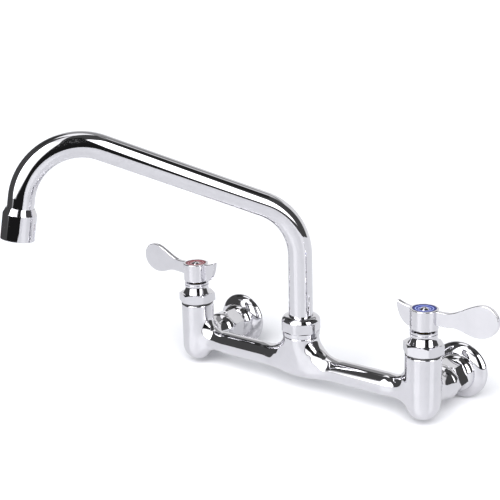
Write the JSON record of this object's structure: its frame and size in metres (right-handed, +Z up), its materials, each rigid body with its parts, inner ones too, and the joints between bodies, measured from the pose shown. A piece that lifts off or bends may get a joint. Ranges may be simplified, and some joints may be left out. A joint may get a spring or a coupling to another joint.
{
  "type": "wall-mounted mixing faucet",
  "caption": "Chrome bar-bodied wall faucet with a swing spout and a quarter-turn lever valve on each side, joined to wall flanges by union nuts.",
  "frame": {"origin": "midway between the centres of the supply inlets, on the wall plane that the flange backs rest on", "axes": "+X along the bar towards the cold valve, +Y into the wall, +Z up along the spout and valve axes"},
  "size_m": [0.3102, 0.2284, 0.208],
  "materials": {
    "chrome": "polished mirror plating on cast or drawn brass",
    "brass": "machined, bare",
    "steel": "stamped stainless spring steel",
    "rubber": "matte black seal rubber",
    "ceramic": "lapped sintered ceramic",
    "plastic": "moulded, low sheen",
    "index_red": "gloss red moulded ring",
    "index_blue": "gloss blue moulded ring"
  },
  "bodies": {
    "body": {"cold_bonnet": "chrome", "cold_bonnet_gasket": "rubber", "cold_cartridge": "brass", "cold_coupling_nut": "chrome", "cold_coupling_washer": "rubber", "cold_fixed_disc": "ceramic", "cold_inlet_flange": "chrome", "cold_seat_seal": "rubber", "faucet_body": "chrome", "hot_bonnet": "chrome", "hot_bonnet_gasket": "rubber", "hot_cartridge": "brass", "hot_coupling_nut": "chrome", "hot_coupling_washer": "rubber", "hot_fixed_disc": "ceramic", "hot_inlet_flange": "chrome", "hot_seat_seal": "rubber", "spout_bushing": "plastic", "spout_nut": "chrome"},
    "spout": {"aerator_housing": "chrome", "aerator_insert": "plastic", "aerator_screen": "steel", "aerator_washer": "rubber", "spout_fitting": "brass", "spout_o_ring_lower": "rubber", "spout_o_ring_upper": "rubber", "spout_tube": "chrome"},
    "hot_lever": {"hot_handle": "chrome", "hot_handle_screw": "chrome", "hot_index_ring": "index_red", "hot_moving_disc": "ceramic", "hot_stem": "brass", "hot_stem_clip": "steel", "hot_stem_o_ring_lower": "rubber", "hot_stem_o_ring_upper": "rubber"},
    "cold_lever": {"cold_handle": "chrome", "cold_handle_screw": "chrome", "cold_index_ring": "index_blue", "cold_moving_disc": "ceramic", "cold_stem": "brass", "cold_stem_clip": "steel", "cold_stem_o_ring_lower": "rubber", "cold_stem_o_ring_upper": "rubber"}
  },
  "joints": [
    {"name": "spout_swivel", "type": "hinge", "parent": "body", "child": "spout", "pos_m": [0, -0.0585, 0.036], "axis": [0, 0, 1], "range_deg": [-63.1, 136.9]},
    {"name": "hot_valve_turn", "type": "hinge", "parent": "body", "child": "hot_lever", "pos_m": [-0.1016, -0.0585, 0.0495], "axis": [0, 0, 1], "range_deg": [0, 90]},
    {"name": "cold_valve_turn", "type": "hinge", "parent": "body", "child": "cold_lever", "pos_m": [0.1016, -0.0585, 0.0495], "axis": [0, 0, 1], "range_deg": [-90, 0]}
  ]
}
